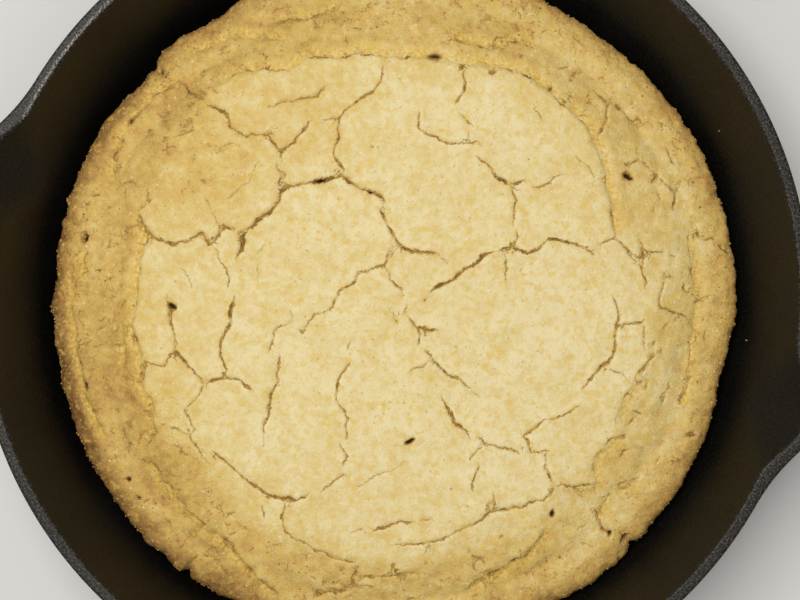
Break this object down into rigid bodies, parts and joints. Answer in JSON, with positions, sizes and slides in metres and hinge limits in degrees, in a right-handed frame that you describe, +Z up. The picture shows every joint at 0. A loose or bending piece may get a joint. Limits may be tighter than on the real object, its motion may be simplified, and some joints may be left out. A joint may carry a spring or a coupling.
{
  "type": "skillet cornbread",
  "caption": "Round golden cornbread with a cracked crust, resting in the cast-iron skillet it was baked in, with a straight handle and pouring lips.",
  "frame": {"origin": "centre of the flat base of the skillet", "axes": "+Z up; the handle points along -Y; the pouring lips are on the +X and -X sides"},
  "size_m": [0.2762, 0.3935, 0.055],
  "materials": {
    "seasoned_iron": "pebbly sand-cast iron with a brown-black baked-on seasoning, satin",
    "cornmeal_crust": "dry matte baked crust, pale gold in the middle and toasted brown at the edge, with meal grains"
  },
  "bodies": {
    "root": {"skillet": "seasoned_iron", "cornbread": "cornmeal_crust"}
  },
  "joints": []
}
